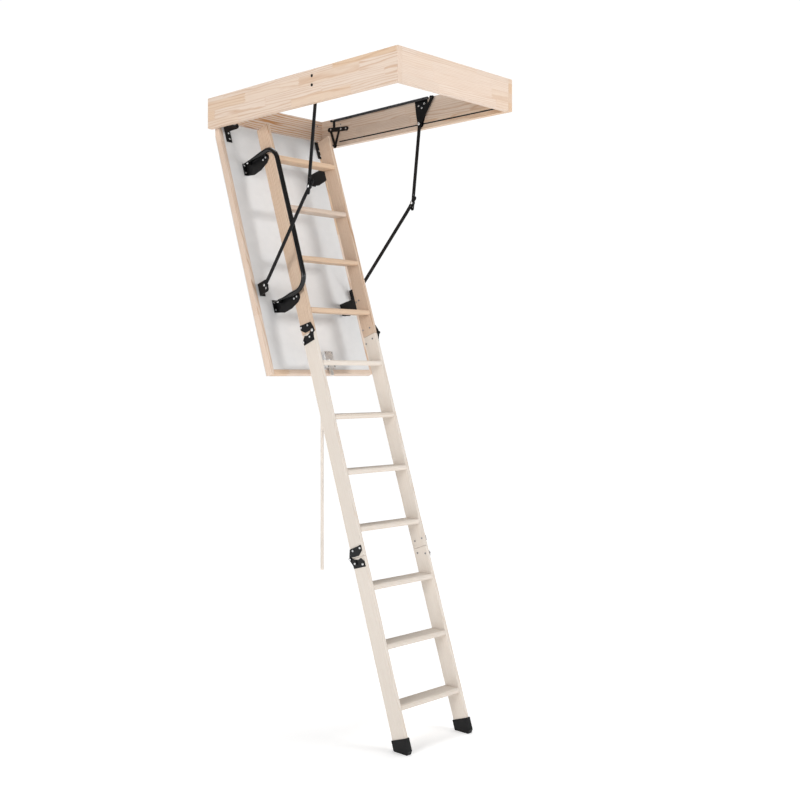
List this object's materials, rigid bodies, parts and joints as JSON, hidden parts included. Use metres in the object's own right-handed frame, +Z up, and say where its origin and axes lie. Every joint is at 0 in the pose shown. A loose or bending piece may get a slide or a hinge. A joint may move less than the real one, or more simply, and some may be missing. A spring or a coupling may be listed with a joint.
{
  "type": "attic ladder",
  "caption": "Folding wooden attic ladder: box frame for the ceiling opening, insulated hatch on sprung arms, hinged ladder sections with treads, tube handrail, lock and opening pole.",
  "frame": {"origin": "on the floor, below the centre of the box frame", "axes": "+Z up, +X to the climber's right, +Y from the front of the box towards the hinged end of the hatch"},
  "size_m": [0.7, 1.2, 2.7638],
  "materials": {
    "box_pine": "unfinished planed pine, edge-glued and finger-jointed",
    "hatch_pine": "unfinished planed pine",
    "stringer_pine": "unfinished planed pine, pale",
    "tread_pine": "unfinished planed pine, pale",
    "pole_wood": "turned pine rod",
    "white_board": "white painted hardboard, satin",
    "core_foam": "insulating foam board, matt",
    "black_steel": "black powder coat, semi-gloss",
    "rail_steel": "black powder coat, semi-gloss",
    "spring_steel": "blackened spring wire",
    "zinc_steel": "bright zinc plate",
    "foot_plastic": "black moulded plastic",
    "seal_rubber": "black rubber strip"
  },
  "bodies": {
    "box": {"end_board_front": "box_pine", "end_board_rear": "box_pine", "frame_seal": "seal_rubber", "side_board_left": "box_pine", "hinge_bracket_left": "black_steel", "arm_plate_left": "black_steel", "spring_left": "spring_steel", "side_board_right": "box_pine", "hinge_bracket_right": "black_steel", "arm_plate_right": "black_steel", "spring_right": "spring_steel"},
    "hatch": {"hatch_frame": "hatch_pine", "hatch_core": "core_foam", "hatch_inner_skin": "white_board", "hatch_outer_skin": "white_board", "handrail": "rail_steel", "lock_case": "zinc_steel", "pole_eye": "zinc_steel", "step_01": "tread_pine", "step_02": "tread_pine", "step_03": "tread_pine", "step_04": "tread_pine", "hinge_leaf_left": "black_steel", "arm_bracket_left": "black_steel", "hatch_bracket_top_left": "black_steel", "hatch_bracket_bottom_left": "black_steel", "upper_stile_left": "stringer_pine", "upper_hinge_top_left": "black_steel", "hinge_leaf_right": "black_steel", "arm_bracket_right": "black_steel", "hatch_bracket_top_right": "black_steel", "hatch_bracket_bottom_right": "black_steel", "upper_stile_right": "stringer_pine", "upper_hinge_top_right": "black_steel"},
    "middle_section": {"step_05": "tread_pine", "step_06": "tread_pine", "step_07": "tread_pine", "step_08": "tread_pine", "upper_hinge_bottom_left": "black_steel", "middle_stile_left": "stringer_pine", "lower_hinge_top_left": "black_steel", "upper_hinge_bottom_right": "black_steel", "middle_stile_right": "stringer_pine", "lower_hinge_top_right": "black_steel"},
    "lower_section": {"step_09": "tread_pine", "step_10": "tread_pine", "step_11": "tread_pine", "lower_hinge_bottom_left": "black_steel", "lower_stile_left": "stringer_pine", "foot_left": "foot_plastic", "lower_hinge_bottom_right": "black_steel", "lower_stile_right": "stringer_pine", "foot_right": "foot_plastic"},
    "upper_arm_left": {"upper_arm_left": "black_steel"},
    "upper_arm_right": {"upper_arm_right": "black_steel"},
    "lower_arm_left": {"lower_arm_left": "black_steel"},
    "lower_arm_right": {"lower_arm_right": "black_steel"},
    "latch_bolt": {"latch_bolt": "zinc_steel"},
    "pole": {"pole": "pole_wood", "pole_hook": "zinc_steel"}
  },
  "joints": [
    {"name": "hatch_hinge", "type": "hinge", "parent": "box", "child": "hatch", "pos_m": [0, 0.478, 2.629], "axis": [-1, 0, 0], "range_deg": [0, 18]},
    {"name": "upper_fold", "type": "hinge", "parent": "hatch", "child": "middle_section", "pos_m": [0, 0.05347, 1.70039], "axis": [-1, 0, 0], "range_deg": [0, 180]},
    {"name": "lower_fold", "type": "hinge", "parent": "middle_section", "child": "lower_section", "pos_m": [0, -0.18258, 0.73964], "axis": [1, 0, 0], "range_deg": [0, 180]},
    {"name": "upper_arm_left", "type": "hinge", "parent": "box", "child": "upper_arm_left", "pos_m": [0, -0.095, 2.647], "axis": [-1, 0, 0], "range_deg": [0, 43.8], "deforming": ["spring_left"]},
    {"name": "lower_arm_left", "type": "hinge", "parent": "upper_arm_left", "child": "lower_arm_left", "pos_m": [0, -0.053, 2.292], "axis": [1, 0, 0], "range_deg": [0, 50.6]},
    {"name": "upper_arm_right", "type": "hinge", "parent": "box", "child": "upper_arm_right", "pos_m": [0, -0.095, 2.647], "axis": [-1, 0, 0], "range_deg": [0, 43.8], "deforming": ["spring_right"]},
    {"name": "lower_arm_right", "type": "hinge", "parent": "upper_arm_right", "child": "lower_arm_right", "pos_m": [0, -0.053, 2.292], "axis": [1, 0, 0], "range_deg": [0, 50.6]},
    {"name": "latch_slide", "type": "slide", "parent": "hatch", "child": "latch_bolt", "axis": [0, 0.3173, 0.9483], "range_m": [0, 0.012], "stiffness_N_per_m": 250, "springref_m": -0.004},
    {"name": "pole_swing", "type": "hinge", "parent": "hatch", "child": "pole", "pos_m": [0.045, 0.2641, 1.52973], "axis": [1, 0, 0], "range_deg": [-20, 60]}
  ],
  "couplings": [
    {"joint": "lower_fold", "follows": "upper_fold", "ratio": 1},
    {"joint": "upper_arm_left", "follows": "hatch_hinge", "ratio": 2.412},
    {"joint": "lower_arm_left", "follows": "hatch_hinge", "ratio": 2.794},
    {"joint": "upper_arm_right", "follows": "hatch_hinge", "ratio": 2.412},
    {"joint": "lower_arm_right", "follows": "hatch_hinge", "ratio": 2.794}
  ]
}
